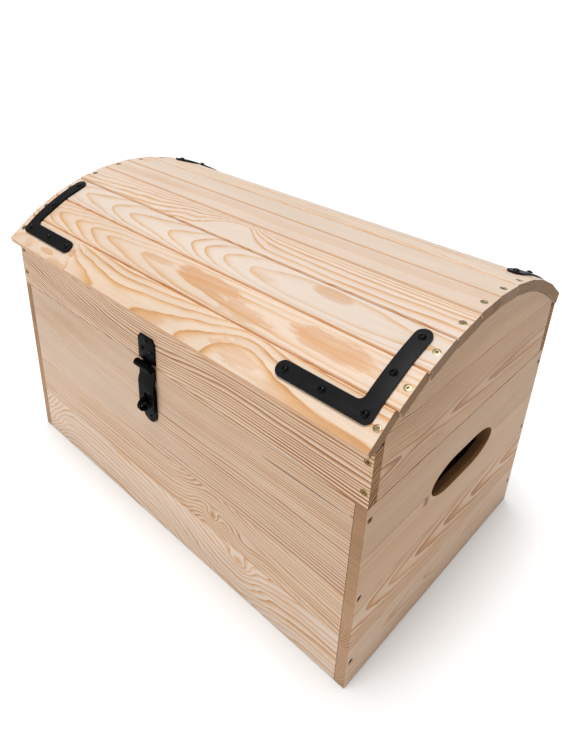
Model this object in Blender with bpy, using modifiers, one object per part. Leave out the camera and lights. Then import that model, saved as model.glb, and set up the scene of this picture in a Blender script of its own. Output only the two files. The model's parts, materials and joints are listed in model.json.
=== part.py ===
"""Pine trunk with a barrel-shaped lid, a hasp and flat corner brackets.

Every piece is a separate object.  Lengths below are in millimetres and are
turned into metres by mm().  X runs along the trunk, -Y is the front, Z is up,
and the origin is the middle of the underside.
"""
import math

import bmesh
import bpy
from mathutils import Matrix, Vector

# ------------------------------------------------------------------ sizes, mm
LENGTH = 600.0          # over the side panels
DEPTH = 373.6           # over the front and back panels
BASE_H = 252.8          # top edge of the base
LID_Z = 253.4           # bottom edge of the lid
BOARD_T = 13.0          # walls, rails and gables
BOTTOM_T = 9.0
GAP = 0.3               # between pieces that touch

LID_CENTRE_Z = 93.4     # axis of the lid's arc
LID_R = 303.8           # to the outer edges of the slats
SLAT_T = 13.3
# joints between the slats, degrees from the top towards the front; the slats are not all one width
JOINTS = (40.7, 32.5, 24.2, 15.8, 7.6, 0.2, -7.7, -15.4, -23.2, -31.2, -38.8)
SLATS = len(JOINTS) - 1
SLAT_LEFT = -302.8
SLAT_RIGHT = (300.3, 303.3, 305.2, 306.0, 305.2, 304.5, 303.3, 302.5, 301.5, 300.8)
CHAMFER = 1.8           # of the V-grooves
RAIL_TOP = 317.5
EDGE_Y, EDGE_Z = 196.2, 317.2   # lower corner of the lid's free front edge
TONGUE_Z = (4.6, 8.4)   # below the outer edge
TONGUE = 4.2

HAND_Y, HAND_Z = 4.7, 187.5
HAND_HALF, HAND_END, HAND_RISE = 20.0, 46.7, 21.5

BRACKET_W = 17.5
BRACKET_T = 2.0
BRACKET_LONG = 109.6    # arm along the slat
BRACKET_BENT = 108.5    # arm over the curve
BRACKET_OUT = 289.0     # |x| of its outer edge
BRACKET_HOLES_X = (280.3, 233.5, 189.8)
BRACKET_HOLES_S = (8.7, 52.8, 97.8)

HASP_X = -11.5
HASP_OUT = 6.5          # knuckle axis in front of the wood
HASP_Z = 252.8
KNUCKLE_R = 4.6
HASP_PIN_R = 2.0
EYE_Z = 200.3           # axis of the turn staple
EYE_R, EYE_OUT, EYE_BACK, EYE_T = 8.6, 9.6, 6.7, 4.7
EYE_HOLE_R, EYE_HOLE_OUT = 3.9, 11.9
NECK_R = 2.9

HINGE_X = 190.0
HINGE_HALF = 30.0
HINGE_Y, HINGE_Z = 190.3, 253.1
HINGE_R, HINGE_PIN_R = 3.2, 1.55


def mm(*v):
    """Millimetres to metres, one value or a vector."""
    return v[0] * 0.001 if len(v) == 1 else Vector([c * 0.001 for c in v])


# ------------------------------------------------------------------ the scene
for old in list(bpy.data.objects):
    bpy.data.objects.remove(old, do_unlink=True)

PARTS = bpy.data.collections.new("pine_trunk")
GUIDES = bpy.data.collections.new("cutters_and_guides")
bpy.context.scene.collection.children.link(PARTS)
bpy.context.scene.collection.children.link(GUIDES)


def material(name, colour, roughness, metallic):
    mat = bpy.data.materials.new(name)
    mat.use_nodes = True
    shader = mat.node_tree.nodes["Principled BSDF"]
    shader.inputs["Base Color"].default_value = (*colour, 1.0)
    shader.inputs["Roughness"].default_value = roughness
    shader.inputs["Metallic"].default_value = metallic
    mat.diffuse_color = (*colour, 1.0)
    return mat


PINE = material("pine", (0.78, 0.58, 0.40), 0.6, 0.0)
PINE_LID = material("pine_lid", (0.86, 0.68, 0.50), 0.55, 0.0)
BLACK = material("black_metal", (0.02, 0.02, 0.022), 0.45, 0.6)


def publish(name, bm, mat, matrix=None, guide=False, smooth=False):
    """Turn a bmesh into a named object."""
    bmesh.ops.recalc_face_normals(bm, faces=bm.faces)
    mesh = bpy.data.meshes.new(name)
    bm.to_mesh(mesh)
    bm.free()
    obj = bpy.data.objects.new(name, mesh)
    obj.matrix_world = matrix or Matrix()
    if smooth:
        for poly in mesh.polygons:
            poly.use_smooth = True
    if guide:
        GUIDES.objects.link(obj)
        obj.hide_render = True
        obj.display_type = 'WIRE'
    else:
        PARTS.objects.link(obj)
        mesh.materials.append(mat)
    return obj


def board(name, x, y, z, mat=None, guide=False):
    """A box between two limits on each axis, with its origin in its middle."""
    size = [mm(b - a) for a, b in (x, y, z)]
    middle = [mm((a + b) / 2) for a, b in (x, y, z)]
    bm = bmesh.new()
    bmesh.ops.create_cube(bm, size=1.0, matrix=Matrix.Diagonal((*size, 1.0)))
    return publish(name, bm, mat, Matrix.Translation(middle), guide)


def rod(name, radius, start, end, sides=20, mat=None, guide=False):
    """A closed cylinder from one point to another, in millimetres."""
    a, b = mm(*start), mm(*end)
    bm = bmesh.new()
    bmesh.ops.create_cone(bm, cap_ends=True, cap_tris=False, segments=sides,
                          radius1=mm(radius), radius2=mm(radius), depth=(b - a).length)
    turn = (b - a).to_track_quat('Z', 'Y').to_matrix().to_4x4()
    return publish(name, bm, mat, Matrix.Translation((a + b) / 2) @ turn, guide, smooth=not guide)


def outline(name, points, half, matrix, mat=None, guide=False):
    """A flat outline given in millimetres, filled and thickened by half on each side."""
    curve = bpy.data.curves.new(name, 'CURVE')
    curve.dimensions = '2D'
    curve.fill_mode = 'BOTH'
    curve.extrude = mm(half)
    spline = curve.splines.new('POLY')
    spline.points.add(len(points) - 1)
    for point, (u, v) in zip(spline.points, points):
        point.co = (mm(u), mm(v), 0.0, 1.0)
    spline.use_cyclic_u = True
    flat = bpy.data.objects.new(name + "_outline", curve)
    GUIDES.objects.link(flat)
    flat.matrix_world = matrix
    bpy.context.view_layer.update()
    solid = flat.evaluated_get(bpy.context.evaluated_depsgraph_get())
    mesh = bpy.data.meshes.new_from_object(solid)
    bm = bmesh.new()
    bm.from_mesh(mesh)
    bpy.data.meshes.remove(mesh)
    bmesh.ops.remove_doubles(bm, verts=bm.verts, dist=1e-6)
    bpy.data.objects.remove(flat, do_unlink=True)
    return publish(name, bm, mat, matrix, guide)


def boolean(obj, tool, operation='DIFFERENCE'):
    mod = obj.modifiers.new(operation.lower() + "_" + tool.name, 'BOOLEAN')
    mod.operation = operation
    mod.solver = 'EXACT'
    mod.object = tool


def turned(name, profile, matrix, steps, mat):
    """A turned piece: the profile, radius and height in mm, runs down its outer side."""
    bm = bmesh.new()
    verts = [bm.verts.new((mm(r), 0.0, mm(h))) for r, h in profile]
    for a, b in zip(verts, verts[1:]):
        bm.edges.new((a, b))
    mesh = bpy.data.meshes.new(name)
    bm.to_mesh(mesh)
    bm.free()
    obj = bpy.data.objects.new(name, mesh)
    obj.matrix_world = matrix
    PARTS.objects.link(obj)
    mesh.materials.append(mat)
    mod = obj.modifiers.new("turn", 'SCREW')
    mod.angle = 2 * math.pi
    mod.axis = 'Z'
    mod.steps = mod.render_steps = steps
    mod.use_merge_vertices = True
    mod.merge_threshold = 1e-6
    mod.use_smooth_shade = True
    return obj


# planes that outlines are drawn in: local X and Y of the outline, and its normal
ALONG_X = Matrix(((0, 0, 1, 0), (1, 0, 0, 0), (0, 1, 0, 0), (0, 0, 0, 1)))   # draws Y, Z; thick along X
ALONG_Y = Matrix(((1, 0, 0, 0), (0, 0, -1, 0), (0, 1, 0, 0), (0, 0, 0, 1)))  # draws X, Z; thick along Y


def arc_point(radius, degrees, across=0.0):
    """(y, z) at an angle from the top of the lid, positive towards the front,
    moved across by some millimetres towards the back."""
    a = math.radians(degrees)
    out = Vector((-math.sin(a), math.cos(a)))
    back = Vector((math.cos(a), math.sin(a)))
    p = out * radius + back * across
    return p.x, p.y + LID_CENTRE_Z


# ------------------------------------------------------------------ the base
HALF_L, HALF_D = LENGTH / 2, DEPTH / 2
INNER_X = HALF_L - BOARD_T
INNER_Y = HALF_D - BOARD_T

hand_hole = bmesh.new()
bmesh.ops.create_cone(hand_hole, cap_ends=True, segments=32, radius1=mm(HAND_RISE), radius2=mm(HAND_RISE),
                      depth=mm(2 * LENGTH), matrix=Matrix.Rotation(math.radians(180 / 32), 4, 'Z'))
for v in hand_hole.verts:
    side = 1 if v.co.x > 0 else -1
    v.co.x = side * mm(HAND_HALF) + v.co.x * HAND_END / HAND_RISE
hand_hole_tool = publish("hand_hole_cutter", hand_hole, None,
                         Matrix.Translation(mm(0, HAND_Y, HAND_Z)) @ ALONG_X, guide=True)

for name, sign in (("left", -1), ("right", 1)):
    x = sorted((sign * INNER_X, sign * HALF_L))
    side = board("side_panel_" + name, x, (-HALF_D, HALF_D), (0, BASE_H), PINE)
    boolean(side, hand_hole_tool)

front = board("base_front_panel", (-INNER_X + GAP, INNER_X - GAP), (-HALF_D, -INNER_Y), (0, BASE_H), PINE)
board("base_back_panel", (-INNER_X + GAP, INNER_X - GAP), (INNER_Y, HALF_D), (0, BASE_H), PINE)
board("bottom_panel", (-INNER_X + GAP, INNER_X - GAP), (-INNER_Y + GAP, INNER_Y - GAP), (0, BOTTOM_T), PINE)

# ------------------------------------------------------------------ the lid's frame
front_rail = board("lid_front_rail", (-HALF_L, HALF_L), (-HALF_D, -INNER_Y), (LID_Z, RAIL_TOP), PINE)
board("lid_back_rail", (-HALF_L, HALF_L), (INNER_Y, HALF_D), (LID_Z, RAIL_TOP), PINE)

HALF_STEPS = [math.radians((a - b) / 2) for a, b in zip(JOINTS, JOINTS[1:])]
MIDDLES = [(a + b) / 2 for a, b in zip(JOINTS, JOINTS[1:])]
OUT_FACES = [LID_R * math.cos(h) for h in HALF_STEPS]     # from the arc's axis to each slat's outer face

GABLE_R = min(OUT_FACES) - SLAT_T - GAP
gable_y = INNER_Y - GAP
gable_end = math.asin(gable_y / GABLE_R)
gable_outline = [(-gable_y, LID_Z), (gable_y, LID_Z)]
for i in range(25):
    a = gable_end * (1 - i / 12)
    gable_outline.append((GABLE_R * math.sin(a), LID_CENTRE_Z + GABLE_R * math.cos(a)))
for name, sign in (("left", -1), ("right", 1)):
    place = Matrix.Translation(mm(sign * (HALF_L - BOARD_T / 2), 0, 0)) @ ALONG_X
    outline("lid_gable_" + name, gable_outline, BOARD_T / 2, place, PINE)

# ------------------------------------------------------------------ the slats
G = GAP / 2


def flat_seat(i, sign, edge):
    """Underside of an outermost slat, from its slope out to its lower corner."""
    a = math.radians(abs(MIDDLES[i]))
    seat = RAIL_TOP + GAP
    y = (OUT_FACES[i] - SLAT_T - math.cos(a) * (seat - LID_CENTRE_Z)) / math.sin(a)
    return [(sign * y, seat), (sign * (HALF_D + 0.3), seat)] + edge


slats = []
for i in range(SLATS):
    front_a, back_a, middle = JOINTS[i], JOINTS[i + 1], MIDDLES[i]
    half = OUT_FACES[i] * math.tan(HALF_STEPS[i])
    in_edge = (OUT_FACES[i] - SLAT_T) / math.cos(HALF_STEPS[i])
    points = []
    top, low = LID_R - TONGUE_Z[0], LID_R - TONGUE_Z[1]
    if i == 0:      # the free front edge rests flat on the rail
        points += flat_seat(i, -1, [(-EDGE_Y, EDGE_Z)]) + [arc_point(LID_R, front_a)]
    else:           # groove
        points += [arc_point(in_edge, front_a, G), arc_point(low, front_a, G), arc_point(low, front_a, TONGUE),
                   arc_point(top, front_a, TONGUE), arc_point(top, front_a, G),
                   arc_point(LID_R - CHAMFER, front_a, G), arc_point(OUT_FACES[i], middle, -half + CHAMFER)]
    if i == SLATS - 1:
        points += [arc_point(LID_R, back_a)] + flat_seat(i, 1, [])[::-1]
    else:           # tongue
        points += [arc_point(OUT_FACES[i], middle, half - CHAMFER), arc_point(LID_R - CHAMFER, back_a, -G),
                   arc_point(top - GAP, back_a, -G), arc_point(top - GAP, back_a, TONGUE - 0.4),
                   arc_point(low + GAP, back_a, TONGUE - 0.4), arc_point(low + GAP, back_a, -G), arc_point(in_edge, back_a, -G)]
    left, right = SLAT_LEFT, SLAT_RIGHT[i]
    place = Matrix.Translation(mm((left + right) / 2, 0, 0)) @ ALONG_X
    slats.append(outline("lid_slat_%02d" % (i + 1), points, (right - left) / 2, place, PINE_LID))

# ------------------------------------------------------------------ corner brackets
PLATE_FLAT = OUT_FACES[0] + GAP        # underside of a bracket on the flat of its slat
PLATE_ARC = LID_R + GAP                # underside of a bracket over the curve
BEND_U = math.sqrt(PLATE_ARC ** 2 - PLATE_FLAT ** 2)
EDGE_U = -3.6                          # outer edge of the long arm, from the slat's middle line
BEND_S = BEND_U - EDGE_U


def bracket_path(s, lift, end):
    """(y, z) and angle on the bracket's underside, s mm from its outer edge and lift mm above it.
    end is +1 on the front slat and -1 on the back one."""
    mid = MIDDLES[0] if end > 0 else -MIDDLES[-1]
    if s <= BEND_S:
        angle = mid
        y, z = arc_point(PLATE_FLAT + lift, mid, EDGE_U + s)
    else:
        angle = mid - math.degrees(math.atan2(BEND_U, PLATE_FLAT) + (s - BEND_S) / PLATE_ARC)
        y, z = arc_point(PLATE_ARC + lift, angle)
    return end * y, z, angle


def bracket_outline():
    """Flat L: u along the slat from the outer edge inwards, s over the curve."""
    r, w = BRACKET_W / 2, BRACKET_W
    fillet, corner = 6.0, 8.0
    pts = []

    def arc(cx, cy, radius, a0, a1, n):
        for k in range(n + 1):
            a = math.radians(a0 + (a1 - a0) * k / n)
            pts.append((cx + radius * math.cos(a), cy + radius * math.sin(a)))
    arc(corner, corner, corner, 180, 270, 5)
    arc(BRACKET_LONG - r, r, r, -90, 90, 8)
    arc(w + fillet, w + fillet, fillet, 270, 180, 4)
    arc(r, BRACKET_BENT - r, r, 0, 180, 8)
    return pts


def screw_frame(x, y, z, angle, end):
    """Z out of the lid at that angle, origin at the given point."""
    a = math.radians(angle)
    out = Vector((0, -end * math.sin(a), math.cos(a)))
    side = Vector((1, 0, 0))
    turn = Matrix((side, out.cross(side), out)).transposed().to_4x4()
    return Matrix.Translation(mm(x, y, z)) @ turn


PAN_HEAD = ((0, 2.3), (1.5, 2.15), (2.9, 1.5), (3.9, 0.5), (4.0, 0.0), (1.6, 0.0), (1.6, -10.2), (0, -11.0))
lid_parts = []
for end, row in ((1, "front"), (-1, "back")):
    for sign, name in ((-1, "left"), (1, "right")):
        label = row + "_" + name
        bm = bmesh.new()
        face = bm.faces.new([bm.verts.new((mm(u), mm(s), 0)) for u, s in bracket_outline()])
        bm.normal_update()
        cuts = [BEND_S] + [BEND_S + k * 7.0 for k in range(1, 12)]
        for s in cuts:
            if s < BRACKET_BENT - 1:
                bmesh.ops.bisect_plane(bm, geom=bm.verts[:] + bm.edges[:] + bm.faces[:], dist=1e-7,
                                       plane_co=(0, mm(s), 0), plane_no=(0, 1, 0))
        for v in bm.verts:
            u, s = v.co.x * 1000, v.co.y * 1000
            y, z, _ = bracket_path(s, 0.0, end)
            v.co = mm(sign * (BRACKET_OUT - u), y, z)
        # the sheet faces out of the lid
        bm.normal_update()
        if sum(f.normal.z * f.calc_area() for f in bm.faces) < 0:
            bmesh.ops.reverse_faces(bm, faces=bm.faces)
        mesh = bpy.data.meshes.new("corner_bracket_" + label)
        bm.to_mesh(mesh)
        bm.free()
        bracket = bpy.data.objects.new("corner_bracket_" + label, mesh)
        PARTS.objects.link(bracket)
        mesh.materials.append(BLACK)
        thick = bracket.modifiers.new("sheet", 'SOLIDIFY')
        thick.thickness = mm(BRACKET_T)
        thick.offset = 1.0
        thick.use_even_offset = True
        # screws, and the holes for them through the bracket and into the slats
        spots = [(BRACKET_HOLES_X[0], BRACKET_HOLES_S[0]), (BRACKET_HOLES_X[1], BRACKET_W / 2), (BRACKET_HOLES_X[2], BRACKET_W / 2),
                 (BRACKET_OUT - BRACKET_W / 2, BRACKET_HOLES_S[1]), (BRACKET_OUT - BRACKET_W / 2, BRACKET_HOLES_S[2])]
        holes = bmesh.new()
        for k, (x, s) in enumerate(spots):
            y, z, angle = bracket_path(s, BRACKET_T + 0.25, end)
            frame = screw_frame(sign * x, y, z, angle, end)
            turned("bracket_screw_%s_%d" % (label, k + 1), PAN_HEAD, frame, 12, BLACK)
            bmesh.ops.create_cone(holes, cap_ends=True, segments=12, radius1=mm(2.0), radius2=mm(2.0), depth=mm(14.0),
                                  matrix=frame @ Matrix.Translation(mm(0, 0, 2.5 - 7.0)))
        drill = publish("bracket_drill_" + label, holes, None, guide=True)
        boolean(bracket, drill)
        for n in ((0, 1, 2) if end > 0 else (9, 8, 7, 6)):
            boolean(slats[n], drill)

# ------------------------------------------------------------------ the hasp
FACE = -HALF_D          # y of the front face


def out_box(name, x, out, z, mat=None, guide=False):
    """A box in front of the trunk: x from the hasp's middle, out from the wood."""
    return board(name, (HASP_X + x[0], HASP_X + x[1]), (FACE - out[1], FACE - out[0]), z, mat, guide)


def knuckle(name, x, radius, guide=True, mat=None, sides=24):
    y = FACE - HASP_OUT
    return rod(name, radius, (HASP_X + x[0], y, HASP_Z), (HASP_X + x[1], y, HASP_Z), sides, mat, guide)


def front_plane(out):
    return Matrix.Translation(mm(HASP_X, FACE - out, 0)) @ ALONG_Y


plate_outline = [(-15.2, 257.0), (15.2, 257.0), (15.2, 285.0), (10.8, 290.6), (-10.8, 290.6), (-15.2, 285.0)]
plate = outline("hasp_plate", plate_outline, 0.9, front_plane(1.2), BLACK)
boolean(plate, out_box("hasp_plate_tab", (-6.4, 6.4), (0.9, 3.0), (251.4, 257.3), guide=True), 'UNION')
boolean(plate, knuckle("hasp_plate_knuckle", (-6.5, 6.5), KNUCKLE_R), 'UNION')
boolean(plate, knuckle("hasp_bore", (-30, 30), HASP_PIN_R + 0.25))
pin = knuckle("hasp_pin", (-14.9, 14.9), HASP_PIN_R, guide=False, mat=BLACK)

strap_side = [(FACE - o, z) for o, z in
              ((3.2, 251.2), (3.2, 236.5), (6.2, 227.5), (6.2, 185.2), (4.2, 185.2), (4.2, 227.8), (1.2, 236.8), (1.2, 251.2))]
strap = outline("hasp_strap", strap_side, 14.5, Matrix.Translation(mm(HASP_X, 0, 0)) @ ALONG_X, BLACK)
strap_end = [(-14.6, 268.0), (14.6, 268.0)]
for cx, a0 in ((2.6, 0), (-2.6, -90)):
    for k in range(7):
        a = math.radians(a0 - 90 * k / 6)
        strap_end.append((cx + 12.0 * math.cos(a), 197.2 + 12.0 * math.sin(a)))
boolean(strap, outline("hasp_strap_limit", strap_end, 12.0, front_plane(2.0), guide=True), 'INTERSECT')
for n, x in enumerate(((-14.5, -6.8), (6.8, 14.5))):
    boolean(strap, knuckle("hasp_strap_knuckle_%d" % (n + 1), (x[0] + 0.02 * (1 - 2 * n), x[1]), KNUCKLE_R), 'UNION')
boolean(strap, out_box("hasp_knuckle_gap", (-6.78, 6.78), (-1.0, 13.0), (247.9, 262.0), guide=True))
boolean(strap, bpy.data.objects["hasp_bore"])


def stadium(half_w, low, high, n=8):
    pts = []
    for cz, a0 in ((high - half_w, 0), (low + half_w, 180)):
        for k in range(n + 1):
            a = math.radians(a0 + 180 * k / n)
            pts.append((half_w * math.cos(a), cz + half_w * math.sin(a)))
    return pts


boolean(strap, outline("hasp_slot", stadium(3.75, 189.0, 215.3), 12.0, front_plane(5.0), guide=True))

staple = outline("staple_plate", stadium(13.2, 170.8, 229.8, 10), 1.0, front_plane(1.3), BLACK)


def front_rod(name, radius, out, z, sides=20):
    return rod(name, radius, (HASP_X, FACE - out[0], z), (HASP_X, FACE - out[1], z), sides, guide=True)


boolean(staple, front_rod("staple_plate_bore", NECK_R + 0.3, (-1.0, 4.0), EYE_Z))
# the eye stands wholly in front of the strap, only its round neck is in the slot
lean = math.asin((EYE_OUT - EYE_BACK) / EYE_R)
eye_outline = []
for k in range(23):
    a = -math.pi / 2 - lean + (math.pi + 2 * lean) * k / 22
    eye_outline.append((FACE - EYE_OUT - EYE_R * math.cos(a), EYE_Z + EYE_R * math.sin(a)))
eye = outline("turn_staple", eye_outline, EYE_T / 2, Matrix.Translation(mm(HASP_X, 0, 0)) @ ALONG_X, BLACK)
boolean(eye, rod("turn_staple_eye", EYE_HOLE_R, (HASP_X - 8, FACE - EYE_HOLE_OUT, EYE_Z), (HASP_X + 8, FACE - EYE_HOLE_OUT, EYE_Z), 18, guide=True))
boolean(eye, front_rod("turn_staple_neck", NECK_R, (0.35, EYE_BACK + 0.35), EYE_Z), 'UNION')

PLATE_SCREW = ((0, 1.7), (1.4, 1.55), (2.6, 1.0), (3.2, 0.2), (3.2, 0.0), (1.4, 0.0), (1.4, -10.2), (0, -11.0))
LOW_SCREW = ((0, 1.2), (1.6, 1.1), (2.6, 0.7), (3.1, 0.15), (3.1, 0.0), (1.4, 0.0), (1.4, -10.2), (0, -11.0))
FACING = Matrix.Rotation(math.pi / 2, 4, 'X')      # Z of a screw points to the front


def front_screws(label, spots, out, profile, hosts):
    holes = bmesh.new()
    for k, (x, z) in enumerate(spots):
        frame = Matrix.Translation(mm(HASP_X + x, FACE - out, z)) @ FACING
        turned("%s_screw_%d" % (label, k + 1), profile, frame, 12, BLACK)
        bmesh.ops.create_cone(holes, cap_ends=True, segments=12, radius1=mm(1.8), radius2=mm(1.8), depth=mm(14.0),
                              matrix=frame @ Matrix.Translation(mm(0, 0, 2.5 - 7.0)))
    drill = publish(label + "_drill", holes, None, guide=True)
    for host in hosts:
        boolean(host, drill)


front_screws("hasp_plate", ((0.0, 284.4), (-8.7, 271.6), (8.7, 271.6)), 2.35, PLATE_SCREW, (plate, front_rail))
front_screws("staple_plate", ((0.0, 177.4), (0.0, 223.2)), 2.55, LOW_SCREW, (staple, front))

# ------------------------------------------------------------------ the lid hinges
for name, sign in (("left", -1), ("right", 1)):
    cx = sign * HINGE_X

    def at(x0, x1):
        return cx + x0, cx + x1

    def barrel(label, x0, x1, radius, guide=True, mat=None, sides=20):
        return rod(label, radius, (cx + x0, HINGE_Y, HINGE_Z), (cx + x1, HINGE_Y, HINGE_Z), sides, mat, guide)

    leaf_y = (HALF_D + GAP, HALF_D + GAP + 1.6)
    bore = barrel("hinge_bore_" + name, -40, 40, HINGE_PIN_R + 0.25)
    lower = board("hinge_leaf_base_" + name, at(-HINGE_HALF, HINGE_HALF), leaf_y, (222.1, 249.5), BLACK)
    for n, (a, b) in enumerate(((-HINGE_HALF, -10.1), (10.1, HINGE_HALF))):
        boolean(lower, board("hinge_tab_%s_%d" % (name, n), at(a + 0.05, b - 0.05), (leaf_y[0] + 0.05, leaf_y[1] + 0.6), (248.9, 253.0), guide=True), 'UNION')
        boolean(lower, barrel("hinge_knuckle_%s_%d" % (name, n), a, b, HINGE_R), 'UNION')
    boolean(lower, bore)
    upper = board("hinge_leaf_lid_" + name, at(-HINGE_HALF, HINGE_HALF), leaf_y, (256.7, 284.1), BLACK)
    boolean(upper, board("hinge_tab_lid_" + name, at(-9.75, 9.75), (leaf_y[0] + 0.05, leaf_y[1] + 0.6), (253.2, 257.3), guide=True), 'UNION')
    boolean(upper, barrel("hinge_knuckle_lid_" + name, -9.8, 9.8, HINGE_R), 'UNION')
    boolean(upper, bore)
    barrel("hinge_pin_" + name, -HINGE_HALF, HINGE_HALF, HINGE_PIN_R, guide=False, mat=BLACK, sides=16)

# ------------------------------------------------------------------ what moves
bpy.context.view_layer.update()


def pivot(name, at, parent=None):
    empty = bpy.data.objects.new(name, None)
    empty.empty_display_size = 0.03
    PARTS.objects.link(empty)
    empty.location = mm(*at)
    if parent:
        empty.parent = parent
        empty.matrix_parent_inverse = parent.matrix_world.inverted()
    bpy.context.view_layer.update()
    return empty


def hang(obj, empty):
    world = obj.matrix_world.copy()
    obj.parent = empty
    obj.matrix_parent_inverse = empty.matrix_world.inverted()
    obj.matrix_world = world


lid_axis = pivot("lid_axis", (0, HINGE_Y, HINGE_Z))
hasp_axis = pivot("hasp_axis", (HASP_X, FACE - HASP_OUT, HASP_Z), lid_axis)
staple_axis = pivot("staple_axis", (HASP_X, FACE, EYE_Z))
for obj in PARTS.objects:
    if obj.type != 'MESH':
        continue
    if obj.name.startswith(("lid_", "corner_bracket", "bracket_screw", "hinge_leaf_lid", "hasp_plate", "hasp_pin")):
        hang(obj, lid_axis)
    elif obj.name == "hasp_strap":
        hang(obj, hasp_axis)
    elif obj.name == "turn_staple":
        hang(obj, staple_axis)
bpy.context.view_layer.update()
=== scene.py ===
import json
import math

import bmesh
import bpy
from mathutils import Matrix, Vector


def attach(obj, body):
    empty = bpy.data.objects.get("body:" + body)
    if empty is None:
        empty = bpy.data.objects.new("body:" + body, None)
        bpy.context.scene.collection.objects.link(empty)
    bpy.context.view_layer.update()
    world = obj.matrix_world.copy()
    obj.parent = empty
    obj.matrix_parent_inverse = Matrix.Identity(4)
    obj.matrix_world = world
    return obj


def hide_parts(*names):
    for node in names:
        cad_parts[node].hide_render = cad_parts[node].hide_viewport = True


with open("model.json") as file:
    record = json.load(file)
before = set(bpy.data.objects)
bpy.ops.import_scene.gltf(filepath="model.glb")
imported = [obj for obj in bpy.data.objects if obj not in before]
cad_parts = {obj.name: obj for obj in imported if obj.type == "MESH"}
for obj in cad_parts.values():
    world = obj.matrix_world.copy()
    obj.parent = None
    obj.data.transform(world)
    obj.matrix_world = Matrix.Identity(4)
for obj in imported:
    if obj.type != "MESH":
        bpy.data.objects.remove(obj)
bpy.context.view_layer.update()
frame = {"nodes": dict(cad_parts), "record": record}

LENGTH = 0.600
DEPTH = 0.3736
ARC_Z = 0.0934
ARC_R = 0.3038
JOINTS = (40.7, 32.5, 24.2, 15.8, 7.6, 0.2, -7.7, -15.4, -23.2, -31.2, -38.8)
BODY = {n: b for b, nodes in frame["record"]["behaviour"]["bodies"].items() for n in nodes}


# ------------------------------------------------------------------ shader helpers
def linear(code, gain=1.0):
    """#rrggbb as display colour to linear RGBA."""
    out = []
    for i in (1, 3, 5):
        c = int(code[i:i + 2], 16) / 255
        out.append(gain * (c / 12.92 if c <= 0.04045 else ((c + 0.055) / 1.055) ** 2.4))
    return (*out, 1.0)


class Net:
    """A material's node tree, written as a sum."""

    def __init__(self, name):
        self.mat = bpy.data.materials.new(name)
        self.mat.use_nodes = True
        self.tree = self.mat.node_tree
        self.tree.nodes.clear()

    def node(self, kind, **settings):
        n = self.tree.nodes.new(kind)
        for key, value in settings.items():
            setattr(n, key, value)
        return n

    def put(self, socket, value):
        if isinstance(value, bpy.types.NodeSocket):
            self.tree.links.new(value, socket)
        else:
            socket.default_value = value

    def math(self, op, a, b=None, c=None, clamp=False):
        n = self.node("ShaderNodeMath", operation=op, use_clamp=clamp)
        for i, v in enumerate((a, b, c)):
            if v is not None:
                self.put(n.inputs[i], v)
        return n.outputs[0]

    def vec(self, op, a, b=None, c=None):
        n = self.node("ShaderNodeVectorMath", operation=op)
        for i, v in enumerate((a, b, c)):
            if v is not None:
                self.put(n.inputs[i], v)
        return n.outputs["Value"] if op in ("LENGTH", "DISTANCE", "DOT_PRODUCT") else n.outputs[0]

    def join(self, x, y, z):
        n = self.node("ShaderNodeCombineXYZ")
        for i, v in enumerate((x, y, z)):
            self.put(n.inputs[i], v)
        return n.outputs[0]

    def stretch(self, p, sizes, shift):
        return self.vec("MULTIPLY_ADD", p, tuple(1 / s for s in sizes), shift)

    def noise(self, p, scale=1.0, detail=2.0, rough=0.5, out="Fac"):
        n = self.node("ShaderNodeTexNoise", noise_dimensions="3D")
        self.put(n.inputs["Vector"], p)
        self.put(n.inputs["Scale"], scale)
        self.put(n.inputs["Detail"], detail)
        self.put(n.inputs["Roughness"], rough)
        return n.outputs[out]

    def noise1(self, w, detail=1.0, out="Fac"):
        n = self.node("ShaderNodeTexNoise", noise_dimensions="1D")
        self.put(n.inputs["W"], w)
        self.put(n.inputs["Scale"], 1.0)
        self.put(n.inputs["Detail"], detail)
        return n.outputs[out]

    def ramp(self, fac, stops, mode="LINEAR"):
        n = self.node("ShaderNodeValToRGB")
        n.color_ramp.interpolation = mode
        e = n.color_ramp.elements
        while len(e) < len(stops):
            e.new(0.5)
        for item, (at, colour) in zip(e, stops):
            item.position = at
            item.color = colour if isinstance(colour, tuple) else (colour, colour, colour, 1.0)
        self.put(n.inputs[0], fac)
        return n.outputs[0]

    def curve(self, x, stops):
        """A smooth function through (x, y) stops, constant beyond the outer ones."""
        x0, x1 = stops[0][0], stops[-1][0]
        low, high = min(y for _, y in stops), max(y for _, y in stops)
        fac = self.math("MULTIPLY_ADD", x, 1 / (x1 - x0), -x0 / (x1 - x0))
        made = self.ramp(fac, [((a - x0) / (x1 - x0), (y - low) / (high - low)) for a, y in stops], "CARDINAL")
        return self.math("MULTIPLY_ADD", made, high - low, low)

    def span(self, value, a, b, c, d):
        n = self.node("ShaderNodeMapRange")
        for i, v in enumerate((value, a, b, c, d)):
            self.put(n.inputs[i], v)
        return n.outputs[0]

    def mix(self, fac, a, b, blend="MIX"):
        n = self.node("ShaderNodeMix", data_type="RGBA", blend_type=blend)
        self.put(n.inputs[0], fac)
        self.put(n.inputs[6], a)
        self.put(n.inputs[7], b)
        return n.outputs[2]

    def finish(self, colour, roughness, metallic=0.0, specular=0.5, height=None, depth=0.0001):
        shader = self.node("ShaderNodeBsdfPrincipled")
        self.put(shader.inputs["Base Color"], colour)
        self.put(shader.inputs["Roughness"], roughness)
        shader.inputs["Metallic"].default_value = metallic
        shader.inputs["Specular IOR Level"].default_value = specular
        if height is not None:
            bump = self.node("ShaderNodeBump")
            bump.inputs["Strength"].default_value = 1.0
            bump.inputs["Distance"].default_value = depth
            self.put(bump.inputs["Height"], height)
            self.tree.links.new(bump.outputs[0], shader.inputs["Normal"])
        out = self.node("ShaderNodeOutputMaterial")
        self.tree.links.new(shader.outputs[0], out.inputs[0])
        return self.mat


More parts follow.
